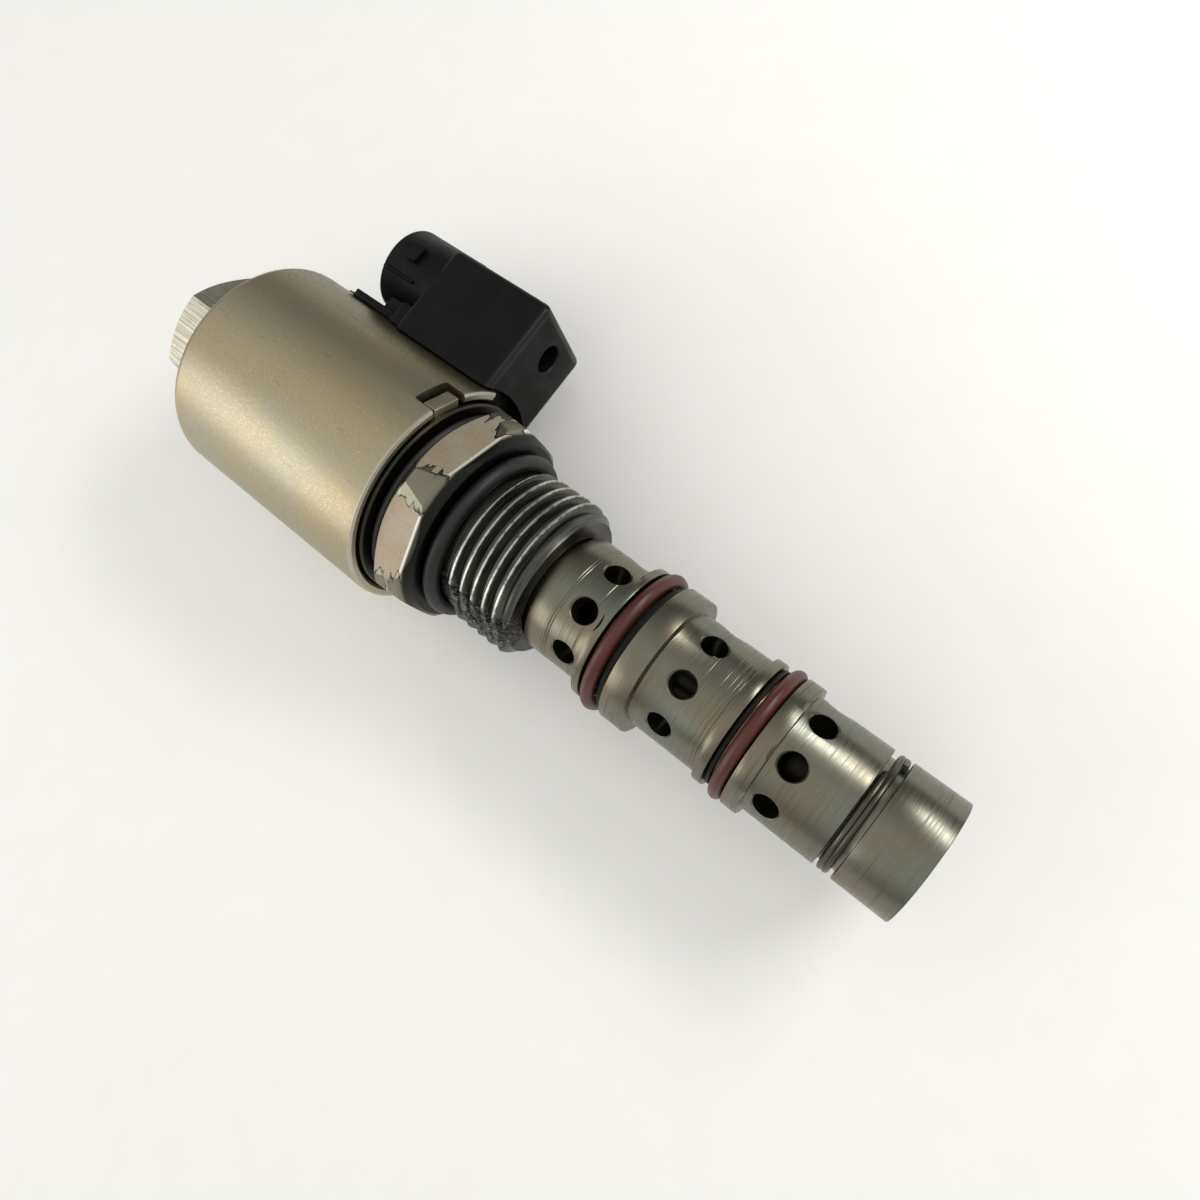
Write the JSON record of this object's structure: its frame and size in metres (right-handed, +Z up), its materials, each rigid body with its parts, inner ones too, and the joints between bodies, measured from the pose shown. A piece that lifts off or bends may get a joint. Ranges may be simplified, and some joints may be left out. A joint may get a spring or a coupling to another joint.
{
  "type": "solenoid cartridge valve",
  "caption": "Screw-in solenoid cartridge valve with hexagon, threaded shank, cross-drilled sealed cage with sliding spool, and a swivelling coil with a side plug connector and a rear nut.",
  "frame": {"origin": "centre of the hexagon's flat seat face, on the valve's axis", "axes": "+X along the valve's axis towards the nose, +Y the way the coil's connector stands out, +Z up"},
  "size_m": [0.1219, 0.046, 0.032],
  "materials": {
    "ground_steel": "ground and turned, satin",
    "body_steel": "machined, dark zinc",
    "plated_steel": "yellow-grey plated, satin",
    "bright_steel": "bright drawn",
    "soft_iron": "machined",
    "brown_rubber": "smooth moulded",
    "black_rubber": "smooth moulded",
    "black_plastic": "moulded, fine texture",
    "pale_plastic": "machined",
    "copper_wire": "enamelled winding",
    "tinned_brass": "tin plated"
  },
  "bodies": {
    "valve": {"hex_body": "body_steel", "seat_seal": "black_rubber", "cage": "ground_steel", "cage_seal_1": "brown_rubber", "backup_ring_1": "black_plastic", "cage_seal_2": "brown_rubber", "backup_ring_2": "pale_plastic", "lock_wire": "bright_steel", "nose_plug": "ground_steel", "armature_tube": "bright_steel", "pole_piece": "soft_iron", "tube_end": "bright_steel", "coil_nut": "bright_steel", "nut_seal": "black_rubber", "coil_seal": "black_rubber", "return_spring": "bright_steel"},
    "spool": {"spool": "ground_steel"},
    "armature": {"armature": "soft_iron", "push_pin": "bright_steel"},
    "coil": {"coil_can": "plated_steel", "flux_plate": "soft_iron", "bobbin": "pale_plastic", "winding": "copper_wire", "connector": "black_plastic", "terminal_1": "tinned_brass", "terminal_2": "tinned_brass"}
  },
  "joints": [
    {"name": "spool_travel", "type": "slide", "parent": "valve", "child": "spool", "axis": [1, 0, 0], "range_m": [0, 0.0025], "stiffness_N_per_m": 4000, "springref_m": -0.002, "deforming": ["return_spring"]},
    {"name": "armature_travel", "type": "slide", "parent": "valve", "child": "armature", "axis": [1, 0, 0], "range_m": [0, 0.0025]},
    {"name": "coil_swivel", "type": "hinge", "parent": "valve", "child": "coil", "pos_m": [0, 0, 0], "axis": [1, 0, 0], "continuous": true}
  ],
  "couplings": [
    {"joint": "armature_travel", "follows": "spool_travel", "ratio": 1}
  ]
}
